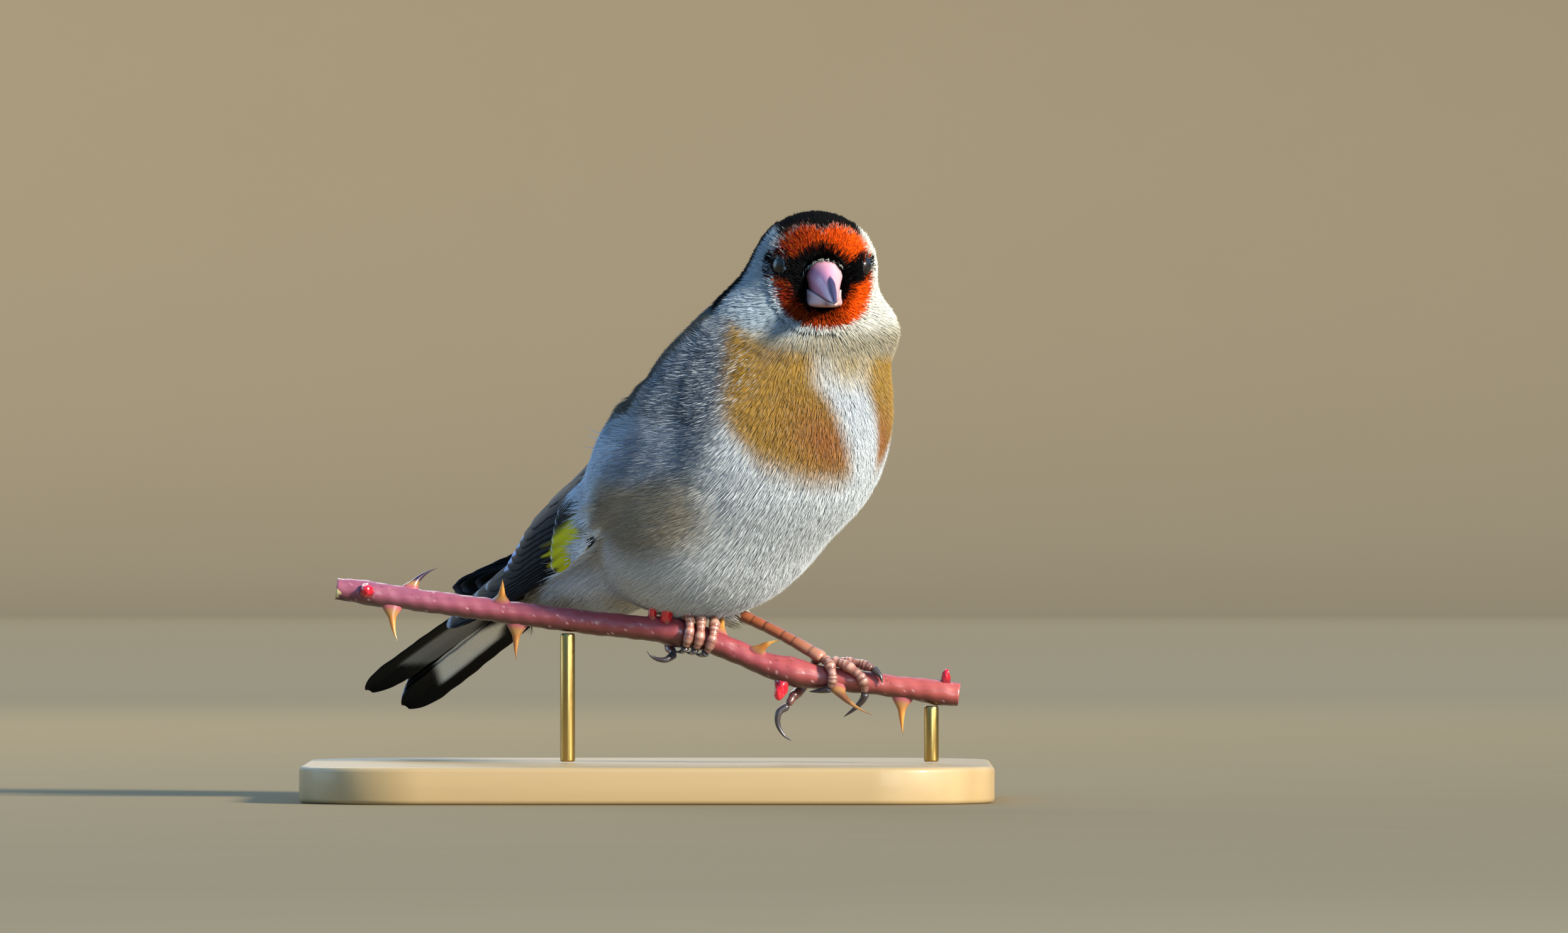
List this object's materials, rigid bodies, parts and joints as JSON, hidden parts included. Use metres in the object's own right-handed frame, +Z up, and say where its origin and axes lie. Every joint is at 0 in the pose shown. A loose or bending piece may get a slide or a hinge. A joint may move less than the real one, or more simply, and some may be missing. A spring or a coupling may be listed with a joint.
{
  "type": "european goldfinch",
  "caption": "Still life-size model of a European goldfinch gripping a cut length of thorny rose stem, head turned to the viewer, on a flat base with short rods.",
  "frame": {"origin": "middle of the display base's underside", "axes": "+Z up, X along the rose stem and the base's longer side; the head looks towards -Y and the tail lies towards -X and +Y"},
  "size_m": [0.112, 0.102, 0.0955],
  "materials": {
    "plumage_body": "soft body feathers: white belly and throat, tan breast sides, grey-brown back",
    "plumage_head": "short face feathers: red mask, black crown and lores, white cheeks",
    "plumage_wing": "smooth black flight feathers with a yellow bar and white tips",
    "plumage_tail": "smooth black tail feathers with white patches",
    "bill": "pinkish ivory horn with a dark ridge, satin",
    "eye": "wet, near black",
    "leg": "reddish-brown scaled skin, satin",
    "claw": "dark horn, glossy",
    "stem": "smooth plum-red bark with pale specks, ochre thorns and crimson buds",
    "stand_wood": "pale wood, satin varnish",
    "stand_rod": "brushed"
  },
  "bodies": {
    "root": {"head": "plumage_head", "neck": "plumage_body", "bill_upper": "bill", "bill_lower": "bill", "eye_right": "eye", "wing_right": "plumage_wing", "eye_left": "eye", "wing_left": "plumage_wing", "tail": "plumage_tail", "torso": "plumage_body", "toe_right_inner": "leg", "claw_right_inner": "claw", "toe_right_middle": "leg", "claw_right_middle": "claw", "toe_right_outer": "leg", "claw_right_outer": "claw", "toe_right_hind": "leg", "claw_right_hind": "claw", "toe_left_inner": "leg", "claw_left_inner": "claw", "toe_left_middle": "leg", "claw_left_middle": "claw", "toe_left_outer": "leg", "claw_left_outer": "claw", "toe_left_hind": "leg", "claw_left_hind": "claw", "tarsus_left": "leg", "perch": "stem", "stand_base": "stand_wood", "stand_rod_left": "stand_rod", "stand_rod_right": "stand_rod"}
  },
  "joints": []
}
